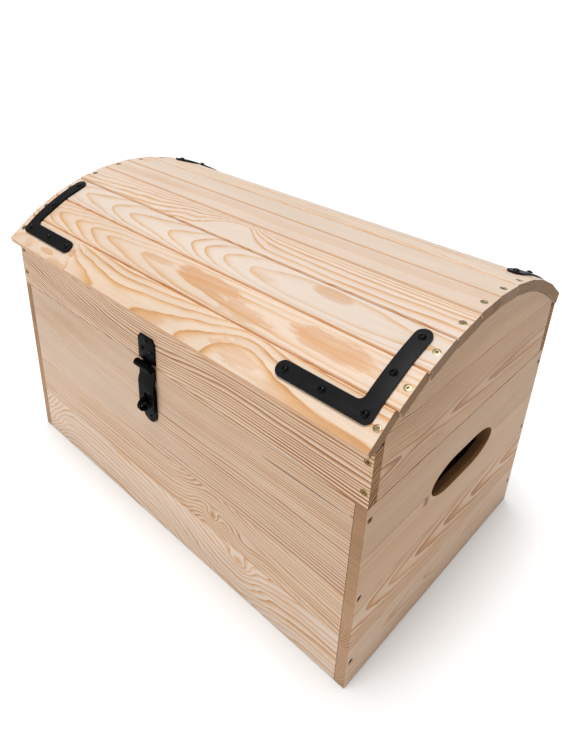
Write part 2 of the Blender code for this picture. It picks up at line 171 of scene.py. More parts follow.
# ------------------------------------------------------------------ pine
LONG = {"pale": "#c9b3a0", "mid": "#bf9466", "dark": "#a56d3c"}
ENDS = {"pale": "#ad917b", "mid": "#94745a", "dark": "#6a4a34"}


class Board:
    """One board: where its grain runs, where the pith lies, and how its figure looks.
    u runs along the grain, v over the face, w out of the face, all in millimetres from origin.
    pith = (v, depth) of the heart under the face, slope = how both change per millimetre of u."""

    def __init__(self, origin, along, out, pith=(0, 45), slope=(0, 0.03), drift=(6, 8, 260), ring=2.4, warp=(0.5, 70, 14),
                 ripple=(0.0, 20, 5), contrast=0.8, even=0.5, bumps=(), tint=(1, 1, 1), flip=False, band=0.3, seed=1.0,
                 pale=None, mid=None, dark=None, late=0.66, blush=(), ends=None, end_tones=None,
                 field=None, strength=None, least=None, end_contrast=0.9):
        self.origin, self.along, self.out = Vector(origin), Vector(along).normalized(), Vector(out).normalized()
        self.across = self.out.cross(self.along)
        self.pith, self.slope, self.drift, self.ring, self.warp, self.ripple = pith, slope, drift, ring, warp, ripple
        self.contrast, self.even, self.bumps, self.tint, self.flip, self.band, self.seed = contrast, even, bumps, tint, flip, band, seed
        self.pale, self.mid, self.dark = pale or LONG["pale"], mid or LONG["mid"], dark or LONG["dark"]
        self.late = late
        self.blush = blush
        self.ends, self.end_tones = ends, end_tones or ENDS
        self.least, self.end_contrast = least, end_contrast      # no ring below this count
        self.field, self.strength = field, strength      # ring count as a sum of a curve over u and one over v; line strength over u

    def material(self, name, end=False):
        if end and self.ends:       # end grain whose rings lie otherwise than the face suggests
            cut = Board(self.origin, self.along, self.out, tint=self.tint, seed=self.seed, end_tones=self.end_tones, **self.ends)
            return cut.material(name, True)
        net = Net(name)
        coords = net.node("ShaderNodeTexCoord").outputs["Object"]
        turn = Matrix((self.along, self.across, self.out))
        place = net.node("ShaderNodeMapping", vector_type="POINT")
        net.tree.links.new(coords, place.inputs["Vector"])
        place.inputs["Location"].default_value = -(turn @ self.origin) * 1000
        place.inputs["Rotation"].default_value = turn.to_euler("XYZ")
        place.inputs["Scale"].default_value = (1000, 1000, 1000)
        p = place.outputs[0]
        split = net.node("ShaderNodeSeparateXYZ")
        net.tree.links.new(p, split.inputs[0])
        u, v, w = split.outputs
        s = self.seed

        sway = net.node("ShaderNodeSeparateColor")
        net.tree.links.new(net.noise1(net.math("MULTIPLY_ADD", u, 1 / self.drift[2], 7.3 * s), 1.0, "Color"), sway.inputs[0])
        side = net.math("MULTIPLY_ADD", sway.outputs[0], 3 * self.drift[0], -self.pith[0] - 1.5 * self.drift[0])
        side = net.math("ADD", net.math("MULTIPLY_ADD", u, -self.slope[0], side), v)
        deep = net.math("MULTIPLY_ADD", sway.outputs[1], 3 * self.drift[1], self.pith[1] - 1.5 * self.drift[1])
        deep = net.math("ADD", net.math("MULTIPLY_ADD", u, self.slope[1], deep), w)
        radius = net.vec("LENGTH", net.join(side, deep, 0.0))
        rings = net.math("MULTIPLY", radius, 1 / self.ring)
        if self.field and not end:
            rings = net.math("ADD", net.curve(u, self.field[0]), net.math("MULTIPLY_ADD", w, 0.3, net.curve(v, self.field[1])))
        wave = net.noise(net.stretch(p, (self.warp[1], self.warp[2], self.warp[2] * 1.5), (3.1 * s, 1.7 * s, 5.9 * s)), detail=1.5)
        rings = net.math("ADD", rings, net.math("MULTIPLY_ADD", wave, 2.5 * self.warp[0], -1.25 * self.warp[0]))
        if self.ripple[0]:
            fine = net.noise(net.stretch(p, (self.ripple[1], self.ripple[2], self.ripple[2]), (2.3 * s, 4.1 * s, 0.9 * s)), detail=1.0)
            rings = net.math("ADD", rings, net.math("MULTIPLY_ADD", fine, 2.5 * self.ripple[0], -1.25 * self.ripple[0]))
        for u0, v0, su, sv, lift in self.bumps:
            near = net.vec("MULTIPLY_ADD", p, (1 / su, 1 / sv, 0.0), (-u0 / su, -v0 / sv, 0.0))
            fall = net.math("EXPONENT", net.math("MULTIPLY", net.vec("DOT_PRODUCT", near, near), -1.0))
            rings = net.math("MULTIPLY_ADD", fall, lift, rings)
        if not self.field:
            rings = net.math("ADD", rings, net.math("MULTIPLY", net.noise1(net.math("MULTIPLY_ADD", rings, 0.41, 3.7 * s)), 1.3))
        if self.least is not None and not end:
            rings = net.math("MAXIMUM", rings, self.least)
        year = net.math("FLOOR", rings)
        part = net.math("FRACT", rings)
        if self.flip:
            part = net.math("SUBTRACT", 1.0, part)
        a = self.late
        grow = net.ramp(part, [(0.0, 0.28), (0.05, 0.0), (a * 0.7, 0.03), (a, 0.2), (a + (1 - a) * 0.55, 0.58), (0.93, 1.0), (0.975, 0.95), (1.0, 0.3)])
        chance = net.node("ShaderNodeTexWhiteNoise", noise_dimensions="1D")
        net.tree.links.new(net.math("ADD", year, 11.0 * s), chance.inputs["W"])
        weight = net.span(chance.outputs["Value"], 0.0, 1.0, self.even, 1.0)
        patch = net.noise(net.stretch(p, (150, 30, 30), (8.2 * s, 0.4 * s, 2.2 * s)), detail=1.0)
        patch = net.span(patch, 0.32, 0.68, 0.55, 1.15)
        if self.strength and not end:
            patch = net.math("MULTIPLY", patch, net.curve(u, self.strength))
        late = net.math("MULTIPLY", net.math("MULTIPLY", grow, weight), net.math("MULTIPLY", patch, self.contrast if not end else self.end_contrast), clamp=True)

        tone = {"pale": self.pale, "mid": self.mid, "dark": self.dark} if not end else self.end_tones
        colour = net.ramp(late, [(0.0, linear(tone["pale"])), (0.45, linear(tone["mid"])), (1.0, linear(tone["dark"]))])
        wide = net.noise1(net.math("MULTIPLY_ADD", rings, 0.16, 5.1 * s), 2.0)
        wide = net.span(wide, 0.45, 0.7, 0.0, self.band)
        colour = net.mix(wide, colour, linear(tone["mid"]))
        for u0, v0, su, sv, amount, *own in self.blush:      # own: raggedness of the edge, colour
            near = net.vec("MULTIPLY_ADD", p, (1 / su, 1 / sv, 0.0), (-u0 / su, -v0 / sv, 0.0))
            ragged = own[0] if own else 1.6
            cloud = net.noise(net.stretch(p, (max(su * 0.6, 8), max(sv * 0.35, 2), 20), (s, 2 * s, 3 * s)), detail=3.0)
            reach = net.math("ADD", net.vec("DOT_PRODUCT", near, near), net.math("MULTIPLY_ADD", cloud, 2 * ragged, -ragged))
            streak = net.noise(net.stretch(p, (60, 1.6, 20), (2 * s, s, 5 * s)), detail=2.0)
            cover = net.math("MULTIPLY", net.span(reach, 0.6, 1.05, amount, 0.0), net.span(streak, 0.35, 0.65, 0.75, 1.15))
            colour = net.mix(cover, colour, linear(own[1] if len(own) > 1 else "#ba8a5f"))

        fibre = net.noise(net.stretch(p, (26, 0.42, 0.42) if not end else (26, 0.5, 0.5), (s, s * 2, s * 3)), detail=3.0, rough=0.6)
        grey = net.span(fibre, 0.3, 0.7, 0.93, 1.05) if not end else net.span(fibre, 0.3, 0.7, 0.86, 1.08)
        cast = net.noise(net.stretch(p, (240, 45, 45), (6 * s, 3 * s, s)), detail=1.0)
        grey = net.math("MULTIPLY", grey, net.span(cast, 0.3, 0.7, 0.96, 1.03))
        colour = net.mix(1.0, colour, net.join(*[net.math("MULTIPLY", grey, t) for t in self.tint]), "MULTIPLY")
        dash = net.noise(net.stretch(p, (7, 0.45, 0.45), (9 * s, 2 * s, 4 * s)), detail=0.0)
        dash = net.span(dash, 0.80, 0.86, 0.0, 0.35)
        colour = net.mix(dash, colour, linear("#765034"))

        rough = net.span(late, 0.0, 1.0, 0.56, 0.44) if not end else net.span(fibre, 0.3, 0.7, 0.74, 0.88)
        height = net.math("MULTIPLY_ADD", late, 0.45, net.math("MULTIPLY", fibre, 0.8 if not end else 1.6))
        return net.finish(colour, rough, specular=0.42 if not end else 0.15, height=height, depth=0.00012)


def slat_board(i, **look):
    middle = math.radians((JOINTS[i] + JOINTS[i + 1]) / 2)
    out = Vector((0, -math.sin(middle), math.cos(middle)))
    half = math.radians((JOINTS[i] - JOINTS[i + 1]) / 2)
    origin = Vector((0, 0, ARC_Z)) + out * ARC_R * math.cos(half)
    return Board(origin, (1, 0, 0), out, **look)


SLAT_ENDS = {"pale": "#9f7e60", "mid": "#84644a", "dark": "#5c402c"}
RAIL_ENDS = {"pale": "#a17a55", "mid": "#6b4a2f", "dark": "#33200f"}
SLAT_LOOKS = (
    dict(field=(((-300, -1.2), (-260, -2.0), (-215, -3.4), (-180, -3.0), (-170, -2.3), (-157, -1.75), (-127, -1.3), (-93, -0.9), (-60, -0.7), (-23, -1.05),
                 (25, -1.5), (53, -2.05), (95, -3.1), (138, -4.3), (178, -3.6), (205, -3.3), (240, -3.1), (300, -3.0)),
                ((-22, 5.0), (-17, 5.04), (-12, 5.17), (-7, 5.38), (-2, 5.68), (3, 6.07), (8, 6.55), (13, 7.12), (18, 7.77), (22, 8.36))),
         ring=3.0, warp=(0.12, 60, 12), contrast=0.92, even=0.75, seed=1.13, band=0.1, late=0.6, tint=(0.91, 0.92, 0.91), least=1.12,
         strength=((-300, 0.4), (-260, 0.25), (-215, 0.12), (-180, 0.15), (-160, 0.9), (40, 1.0), (300, 1.05)),
         blush=((-173, 2, 7.5, 6, 0.75, 0.15), (-217, -12, 16, 4.5, 0.7, 0.3), (-188, -20, 22, 5, 0.6, 0.5), (-262, -14, 10, 9, 0.4, 0.6),
                (128, -6, 34, 13, 0.45, 1.2), (210, -17, 60, 6, 0.35, 1.4), (-60, -15, 130, 7, 0.14, 1.2), (10, -17, 24, 6, 0.4, 0.9))),
    dict(field=(((-300, 9.2), (-257, 8.0), (-217, 7.0), (-181, 6.0), (-147, 5.0), (-75, 4.0), (-8, 3.0), (50, 2.55), (120, 2.25), (165, 2.05), (300, 1.7)),
                ((-22, 2.6), (-19, 1.6), (-15, 0.95), (-11, 0.6), (-7, 0.3), (-3, 0.06), (0, 0.0), (3, 0.1), (6, 0.42), (9, 0.9), (13, 1.5), (17.5, 2.2), (22, 3.2))),
         ring=2.3, warp=(0.18, 60, 12), contrast=0.6, even=0.75, seed=2.31, late=0.55, band=0.1, tint=(0.89, 0.90, 0.90),
         blush=((42, 4, 56, 12, 0.8, 1.1), (110, -8, 44, 9, 0.6, 1.3), (-46, 3, 30, 5, 0.5, 0.8), (214, 2, 52, 14, 0.78, 1.0), (-270, -2, 22, 8, 0.3, 0.8),
                (172, 5, 14, 3.5, 0.5, 0.6))),
    dict(field=(((-300, 8.9), (-255, 8.0), (-190, 7.0), (-152, 6.0), (-72, 5.0), (-28, 4.0), (-5, 3.0), (24, 2.0), (69, 1.0), (93, 0.6), (133, 0.12), (200, 0.1), (240, 0.3), (275, 0.7), (300, 1.0)),
                ((-22, 3.2), (-20, 2.2), (-16, 1.25), (-13.3, 0.9), (-10, 0.52), (-6.7, 0.3), (-3.5, 0.12), (0, 0.01), (3, 0.04), (6, 0.2), (9, 0.38), (12.5, 0.56),
                 (16, 0.82), (19, 1.15), (22, 1.6))),
         ring=2.35, warp=(0.14, 60, 14), contrast=0.66, even=0.6, seed=3.77, band=0.05, late=0.70, tint=(0.855, 0.92, 1.0), least=0.05,
         blush=((176, 11, 27, 8, 0.65, 0.1), (90, -4, 24, 5, 0.3, 0.9))),
    dict(field=(((-300, 3.6), (-260, 3.3), (-177, 2.4), (-135, 2.0), (-102, 1.0), (-85, 0.3), (-60, -0.1), (-40, -1.2), (-27, -2.2), (-10, -3.2), (10, -3.6),
                 (25, -2.2), (34, -1.3), (57, -0.35), (106, -0.1), (200, 0.0), (294, -0.4)),
                ((-22, 0.0), (-17, 0.45), (-12, 1.0), (-7, 1.5), (-2, 2.0), (3, 2.5), (7, 3.1), (11, 3.8), (14, 4.5), (18, 5.6), (22, 7.0))),
         ring=2.1, warp=(0.22, 50, 9), contrast=1.0, even=0.6, seed=4.19, late=0.58, band=0.05, tint=(0.88, 0.93, 1.0), least=0.2,
         blush=((-168, -20, 36, 4, 0.5, 0.8), (-105, -20, 16, 4, 0.4, 0.8))),
    # slats 5 to 10: their tints make the wood paler and less orange towards the crest, partly its own tone and partly a
    # painted sheen
    dict(pith=(-95, 22), slope=(0.01, 0.0), drift=(6, 4, 300), ring=2.4, warp=(0.4, 120, 9), contrast=0.28, even=0.5, seed=5.41,
         band=0.3, tint=(0.835, 0.865, 0.91), blush=((-220, 2, 90, 9, 0.2, 1.2), (60, -19, 110, 1.6, 0.4, 0.6))),
    dict(pith=(-120, 16), slope=(0.008, 0.0), drift=(6, 4, 320), ring=3.2, warp=(0.4, 150, 10), contrast=0.22, even=0.4, seed=6.07,
         band=0.1, tint=(0.915, 1.025, 1.21), pale="#c0a68c", blush=((-285, 4, 12, 8, 0.35, 0.6),)),
    dict(field=(((-300, -2.6), (-150, -1.9), (-60, -1.3), (40, 0.0), (110, 1.0), (140, 1.6), (200, 2.4), (260, 3.3), (300, 3.8)),
                ((-22, 0.0), (-12, 0.75), (-9, 1.0), (3, 2.0), (13, 3.0), (22, 3.6))),
         ring=3.2, warp=(0.25, 70, 12), contrast=0.5, even=0.6, seed=7.53, late=0.5, least=-2.0,
         band=0.2, tint=(0.87, 0.94, 1.0), blush=((60, -17, 240, 2.5, 0.5, 1.0), (20, -4, 60, 6, 0.3, 1.0))),
    dict(pith=(60, 30), slope=(0.01, 0.02), drift=(6, 6, 260), ring=2.8, warp=(0.5, 120, 14), contrast=0.6, even=0.4, seed=8.29, band=0.3, tint=(0.85, 0.94, 1.04)),
    dict(pith=(4, 34), slope=(0.0, 0.05), drift=(3, 3, 200), ring=2.4, warp=(0.4, 90, 15), contrast=0.8, even=0.4, seed=9.61, band=0.3, tint=(0.88, 0.94, 1.0)),
    dict(pith=(-8, 38), slope=(0.01, 0.045), drift=(4, 4, 200), ring=2.5, warp=(0.5, 90, 15), contrast=0.8, even=0.4, seed=10.3, band=0.3, tint=(0.9, 0.94, 0.98)),
)
for look in SLAT_LOOKS:
    look["end_tones"] = SLAT_ENDS

FRONT = dict(along=(1, 0, 0), out=(0, -1, 0))
BACK = dict(along=(-1, 0, 0), out=(0, 1, 0))
RIGHT = dict(along=(0, 1, 0), out=(1, 0, 0))
LEFT = dict(along=(0, -1, 0), out=(-1, 0, 0))


def stack(face, off, cuts, looks):
    """Boards glued edge to edge, from the bottom up. cuts are the heights of all edges."""
    made = []
    for low, high, look in zip(cuts, cuts[1:], looks):
        origin = Vector(face["out"]) * off + Vector((0, 0, (low + high) / 2))
        made.append(Board(origin, face["along"], face["out"], **look))
    return (2, cuts[1:-1], made)


# warmer grain tones for the wall boards: partly their own tone, partly painted to give the faces in shade their warmer
# look
WARM = {"mid": "#bb8b59", "dark": "#955c2c"}
FRONT_LOOKS = (
    dict(field=(((-300, 6.6), (-272, 4.6), (-245, 1.9), (-220, 0.4), (-180, 0.0), (-120, 0.2), (-50, 0.7), (0, 1.6), (40, 3.2), (70, 4.8), (100, 6.0),
                 (130, 6.4), (150, 6.3), (168, 5.4), (190, 4.3), (230, 3.3), (300, 3.0)), ((-34.5, 0.0), (-15, 2.4), (10, 5.0), (34.5, 7.6))),
         ring=2.5, warp=(0.4, 50, 13), contrast=0.72, even=0.55, seed=21.3, band=0.1, late=0.45,
         bumps=((142, 17, 18, 11, 2.3),), tint=(1.10, 1.17, 1.26), blush=((142, 17, 13, 9, 0.3, 0.9), (225, 20, 40, 7, 0.3), (-200, 4, 40, 5, 0.25, 1.2))),
    dict(field=(((-300, 0.3), (-150, 0.0), (0, 0.3), (35, -0.2), (58, -1.6), (78, -3.5), (97, -4.3), (115, -3.9), (140, -2.6), (170, -1.5), (210, -0.7), (300, 0.4)),
                ((-31, 0.0), (-10, 3.3), (10, 6.8), (31, 10.8))),
         ring=2.3, warp=(0.35, 55, 11), contrast=1.15, even=0.5, seed=22.7, band=0.1, late=0.52,
         bumps=((98, -8, 12, 13, 3.2), (150, -14, 22, 12, 2.0)), tint=(1.0, 1.01, 1.0),
         blush=((-30, -26, 120, 4, 0.55, 1.2), (97, -8, 6, 7, 0.35, 0.5), (220, -12, 70, 8, 0.2, 1.2), (100, -29.6, 200, 1.2, 0.6, 0.3))),
    dict(field=(((-300, -1.5), (-200, 1.4), (-100, 3.2), (0, 3.9), (150, 3.6), (300, 4.6)), ((-31, 0.0), (0, 6.8), (31, 14.0))),
         ring=2.4, warp=(0.3, 120, 10), contrast=1.6, even=0.45, seed=23.1, band=0.1, tint=(0.98, 0.99, 0.99), late=0.6,
         strength=((-300, 0.5), (-150, 0.4), (-60, 0.4), (60, 1.0), (300, 1.2))),
    dict(field=(((-300, -3.5), (-240, -1.0), (-160, 3.0), (-60, 5.0), (60, 5.6), (300, 4.6)), ((-31, 0.0), (0, 9.0), (31, 18.5))),
         ring=2.3, warp=(0.4, 90, 9), contrast=1.5, even=0.4, seed=24.9, band=0.15, tint=(0.98, 0.97, 0.94), late=0.6,
         strength=((-300, 0.8), (-100, 0.6), (0, 0.7), (120, 1.1), (300, 1.2)), blush=((-190, 0, 90, 16, 0.2, 1.6), (226, 10.5, 58, 1.1, 1.0, 0.1, "#5f3a22"), (287, 12, 5, 2.0, 0.6, 0.6, "#7a5236"))),
)
# the side boards' tints darken towards the top: painted shade that offsets the light falling brighter on the upper side
SIDE_LOOKS = (
    dict(pith=(6, 34), slope=(0.0, -0.02), drift=(3, 3, 200), ring=2.4, warp=(0.3, 80, 14), contrast=0.75, even=0.4, seed=31.3, band=0.2, tint=(1.08, 1.02, 0.93)),
    dict(field=(((-187, 7.3), (-125, 6.0), (-74, 5.0), (-11, 4.0), (49, 3.0), (132, 2.0), (187, 1.3)),
                ((-31.5, 7.8), (-24, 5.6), (-17, 3.6), (-11.5, 2.2), (-7.7, 1.3), (-3, 0.75), (2, 0.36), (7, 0.08), (11, 0.0), (15, 0.12), (19, 0.4), (24, 0.85), (28, 1.5), (31.5, 2.4))),
         ring=2.4, warp=(0.2, 50, 12), contrast=1.6, even=0.6, seed=32.9, band=0.1, late=0.54, tint=(1.08, 1.02, 0.9)),
    dict(pith=(-90, 20), slope=(0.0, -0.01), drift=(3, 3, 220), ring=2.2, warp=(0.4, 100, 12), contrast=1.1, even=0.35, seed=33.7, band=0.15, tint=(0.97, 0.865, 0.72),
         strength=((-187, 1.2), (-60, 0.9), (60, 0.5), (187, 0.4)), blush=((-71.5, 25, 3.4, 6.5, 1.0, 0.2, "#6b3a22"), (-71.5, 25, 8, 9, 0.4, 0.6, "#9a6c4c"), (-125, 31.2, 66, 0.8, 0.75, 0.1, "#6f4e36"),
                (130, 31.2, 56, 0.8, 0.7, 0.1, "#6f4e36"), (-10, -31.0, 130, 1.0, 0.6, 0.3, "#7d5638"))),
    dict(pith=(-80, 20), slope=(0.02, 0.0), drift=(4, 4, 220), ring=2.2, warp=(0.4, 100, 12), contrast=0.8, even=0.35, seed=34.1, band=0.15, tint=(0.885, 0.785, 0.64)),
)
# the gable boards above carry darker tints still, the same painted shade
GABLE_LOOKS = (
    dict(field=(((-187, 1.2), (-142, 2.0), (-110, 2.7), (-85, 2.6), (-57, 2.0), (23, 1.0), (90, 0.6), (187, 0.3)),
                ((-38.8, 6.4), (-32, 4.6), (-26, 3.1), (-22, 2.0), (-18, 1.0), (-14, 0.4), (-10, 0.05), (-7, 0.0), (-3, 0.2), (1, 0.8), (5, 1.7), (12, 3.6), (25, 7.2), (38.8, 11.0))),
         ring=2.4, warp=(0.25, 60, 12), contrast=1.7, even=0.5, seed=41.3, band=0.1, late=0.58, tint=(0.91, 0.8, 0.65), blush=((45, -7, 26, 4, 0.3, 0.8), (0, 38.4, 150, 0.9, 0.6, 0.2, "#7d5638"))),
    dict(pith=(-80, 24), slope=(0.0, 0.0), drift=(3, 3, 220), ring=2.2, warp=(0.4, 100, 12), contrast=1.1, even=0.35, seed=42.9, band=0.15, tint=(0.9, 0.8, 0.66)),
)


for look in FRONT_LOOKS + SIDE_LOOKS + GABLE_LOOKS:
    look.update(WARM)


def others(looks, shift):
    return [dict(look, seed=look["seed"] + shift, bumps=(), field=None, strength=None, blush=()) for look in looks]


WALL_CUTS = (0.0, 0.069, 0.1294, 0.1916, 0.2528)
SIDE_CUTS = (0.0, 0.0607, 0.1242, 0.1875, 0.2528)
GABLE_CUTS = (0.2534, 0.331, 0.39)
WOOD = {
    "base_front_panel": stack(FRONT, DEPTH / 2, WALL_CUTS, FRONT_LOOKS),
    "base_back_panel": stack(BACK, DEPTH / 2, WALL_CUTS, others(FRONT_LOOKS, 3.3)),
    "side_panel_right": stack(RIGHT, LENGTH / 2, SIDE_CUTS, SIDE_LOOKS),
    "side_panel_left": stack(LEFT, LENGTH / 2, SIDE_CUTS, others(SIDE_LOOKS, 4.7)),
    "lid_gable_right": stack(RIGHT, LENGTH / 2, GABLE_CUTS, GABLE_LOOKS),
    "lid_gable_left": stack(LEFT, LENGTH / 2, GABLE_CUTS, others(GABLE_LOOKS, 5.9)),
    "lid_front_rail": stack(FRONT, DEPTH / 2, (0.2534, 0.3175), [
        dict(field=(((-300, 1.0), (-200, 5.4), (-110, 9.0), (-40, 10.6), (20, 10.2), (80, 8.6), (140, 8.0), (300, 8.6)),
                    ((-32, 0.0), (-10, 5.4), (10, 9.6), (32, 14.6))),
             warp=(0.4, 90, 14), contrast=1.45, even=0.45, seed=51.7, late=0.5, mid="#b07c4a", strength=((-300, 0.85), (-60, 0.85), (60, 0.9), (160, 1.15), (300, 1.25)),
             band=0.2, dark="#7c451c", tint=(1.13, 1.15, 1.13), ends=dict(pith=(-70, 34), slope=(0, 0), drift=(0, 0, 200), ring=5.0, warp=(0.3, 60, 20), even=0.75, end_contrast=1.4),
             end_tones=RAIL_ENDS)]),
    "lid_back_rail": stack(BACK, DEPTH / 2, (0.2534, 0.3175), [
        dict(pith=(-58, 24), slope=(0.03, 0.0), drift=(5, 6, 200), ring=3.4, warp=(0.4, 150, 16), contrast=1.0, even=0.35, seed=52.9, late=0.6, band=0.25,
             ends=dict(pith=(-70, 34), slope=(0, 0), drift=(0, 0, 200), ring=4.0, warp=(0.3, 60, 20), even=0.6), end_tones=RAIL_ENDS)]),
    "bottom_panel": (1, (-0.112, 0.0, 0.112), [
        Board((0, y, 0.009), (1, 0, 0), (0, 0, 1), pith=(10 * k - 15, 34), slope=(0, 0.04), ring=2.4, seed=60.0 + 1.7 * k, contrast=0.7)
        for k, y in enumerate((-0.14, -0.056, 0.056, 0.14))]),
}
for i, look in enumerate(SLAT_LOOKS):
    WOOD["lid_slat_%02d" % (i + 1)] = (2, (), [slat_board(i, **look)])


# ------------------------------------------------------------------ other materials
def metal_black(name, low, high, spots, gloss=0.5):
    """Baked black paint over steel: a faint grain, and a slow change of gloss."""
    net = Net(name)
    p = net.node("ShaderNodeTexCoord").outputs["Object"]
    cloud = net.noise(p, 60.0, 3.0)
    grain = net.noise(p, 2600.0, 2.0)
    colour = net.ramp(cloud, [(0.3, linear(spots[0])), (0.7, linear(spots[1]))])
    rough = net.span(net.math("MULTIPLY_ADD", grain, 0.3, cloud), 0.3, 1.0, low, high)
    return net.finish(colour, rough, specular=gloss, height=grain, depth=0.00004)


def metal_brass(name, tones):
    net = Net(name)
    p = net.node("ShaderNodeTexCoord").outputs["Object"]
    cloud = net.noise(p, 420.0, 3.0)
    grain = net.noise(p, 5200.0, 2.0)
    colour = net.ramp(cloud, [(0.3, linear(tones[0])), (0.55, linear(tones[1])), (0.75, linear(tones[2]))])
    rough = net.span(net.math("MULTIPLY_ADD", grain, 0.4, cloud), 0.3, 1.1, 0.24, 0.44)
    return net.finish(colour, rough, metallic=1.0, specular=0.5, height=grain, depth=0.00003)


BRACKET_PAINT = metal_black("bracket_paint", 0.40, 0.55, ("#0a090b", "#0f0e11"), 0.11)
HASP_PAINT = metal_black("hasp_paint", 0.30, 0.46, ("#030304", "#050506"), 0.04)
SCREW_PAINT = metal_black("screw_paint", 0.22, 0.34, ("#020202", "#040404"), 0.12)
BRASS = metal_brass("brass_plate", ("#857859", "#a09373", "#b8ad90"))
DULL_BRASS = metal_brass("brass_dull", ("#7a6238", "#8d7446", "#a08858"))
DARK_BRASS = metal_brass("brass_dark", ("#3a2410", "#4a3018", "#5a3c20"))
# dark oxide in the brass screws' cross recesses, darkened further as painted shade
RECESS_OXIDE_AND_SHADE = metal_black("brass_recess_oxide_and_shade", 0.5, 0.7, ("#2b2315", "#3b301e"), 0.2)


# ------------------------------------------------------------------ mesh helpers
def publish(name, mesh, body, slot, replaced=()):
    obj = bpy.data.objects.new(name, mesh)
    bpy.context.scene.collection.objects.link(obj)
    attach(obj, body)
    if replaced:
        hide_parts(*replaced)
    return obj


def applied(obj):
    """The object's mesh with its modifiers, and the object gone."""
    graph = bpy.context.evaluated_depsgraph_get()
    mesh = bpy.data.meshes.new_from_object(obj.evaluated_get(graph), depsgraph=graph)
    bpy.data.objects.remove(obj)
    return mesh


def cleaned(node):
    """A CAD node's shape with one vertex per corner and whole flat faces."""
    bm = bmesh.new()
    bm.from_mesh(frame["nodes"][node].data)
    bmesh.ops.remove_doubles(bm, verts=bm.verts[:], dist=2e-6)
    bmesh.ops.dissolve_limit(bm, angle_limit=math.radians(0.6), verts=bm.verts[:], edges=bm.edges[:])
    bm.normal_update()
    return bm


def as_object(bm, name):
    mesh = bpy.data.meshes.new(name)
    bm.to_mesh(mesh)
    bm.free()
    obj = bpy.data.objects.new(name, mesh)
    bpy.context.scene.collection.objects.link(obj)
    return obj


def bevelled(node, width, segments=2, angle=28):
    obj = as_object(cleaned(node), node + "_edges")
    mod = obj.modifiers.new("edges", "BEVEL")
    mod.width, mod.segments, mod.limit_method, mod.angle_limit = width, segments, "ANGLE", math.radians(angle)
    mod.use_clamp_overlap = True
    mod.profile = 0.6
    return obj


def soften(mesh, angle=24):
    mesh.polygons.foreach_set("use_smooth", [True] * len(mesh.polygons))
    mesh.set_sharp_from_angle(angle=math.radians(angle))
    mesh.update()


def lathe(profile, steps, matrix=Matrix(), into=None):
    """A closed body turned about Z from (radius, z) pairs in millimetres that start and end on the axis."""
    bm = into or bmesh.new()
    rows = []
    for r, z in profile:
        if r <= 0:
            rows.append([bm.verts.new(matrix @ Vector((0, 0, z / 1000)))])
        else:
            rows.append([bm.verts.new(matrix @ Vector((r / 1000 * math.cos(2 * math.pi * k / steps), r / 1000 * math.sin(2 * math.pi * k / steps), z / 1000)))
                         for k in range(steps)])
    for a, b in zip(rows, rows[1:]):
        for k in range(steps):
            n = (k + 1) % steps
            if len(a) == 1:
                bm.faces.new((a[0], b[k], b[n]))
            elif len(b) == 1:
                bm.faces.new((a[k], b[0], a[n]))
            else:
                bm.faces.new((a[k], b[k], b[n], a[n]))
    return bm


def frame_at(point, out, spin=0.0):
    """Z out of the surface."""
    z = Vector(out).normalized()
    x = Vector((1, 0, 0)) if abs(z.x) < 0.9 else Vector((0, 1, 0))
    x = (x - z * x.dot(z)).normalized()
    turn = Matrix((x, z.cross(x), z)).transposed().to_4x4()
    return Matrix.Translation(point) @ turn @ Matrix.Rotation(spin, 4, "Z")


def wedge(bm, top_half, low_half, arm_top, arm_low, z_top, z_low, turn):
    """A tapered bar that cuts one arm of a cross recess."""
    m = Matrix.Rotation(turn, 4, "Z")
    rings = []
    for half, arm, z in ((top_half, arm_top, z_top), (low_half, arm_low, z_low)):
        rings.append([bm.verts.new(m @ Vector((x * arm / 1000, y * half / 1000, z / 1000))) for x, y in ((-1, -1), (1, -1), (1, 1), (-1, 1))])
    top, low = rings
    bm.faces.new(top)
    bm.faces.new(low[::-1])
    for k in range(4):
        n = (k + 1) % 4
        bm.faces.new((top[k], low[k], low[n], top[n]))


def cross_head(name, profile, steps, z_top, z_low, span, arm):
    """A turned screw with a cross recess, about Z, head up."""
    body = lathe(profile, steps)
    bmesh.ops.recalc_face_normals(body, faces=body.faces[:])
    obj = as_object(body, name)
    tools = []
    for k, turn in enumerate((0.0, math.pi / 2)):
        bm = bmesh.new()
        wedge(bm, arm, arm * 0.6, span, span * 0.35, z_top, z_low, turn)
        bmesh.ops.recalc_face_normals(bm, faces=bm.faces[:])
        tool = as_object(bm, name + "_tool%d" % k)
        tools.append(tool)
        mod = obj.modifiers.new("recess%d" % k, "BOOLEAN")
        mod.operation, mod.solver, mod.object = "DIFFERENCE", "EXACT", tool
    mesh = applied(obj)
    for tool in tools:
        bpy.data.objects.remove(tool)
    mesh.name = name
    soften(mesh, 34)
    return mesh


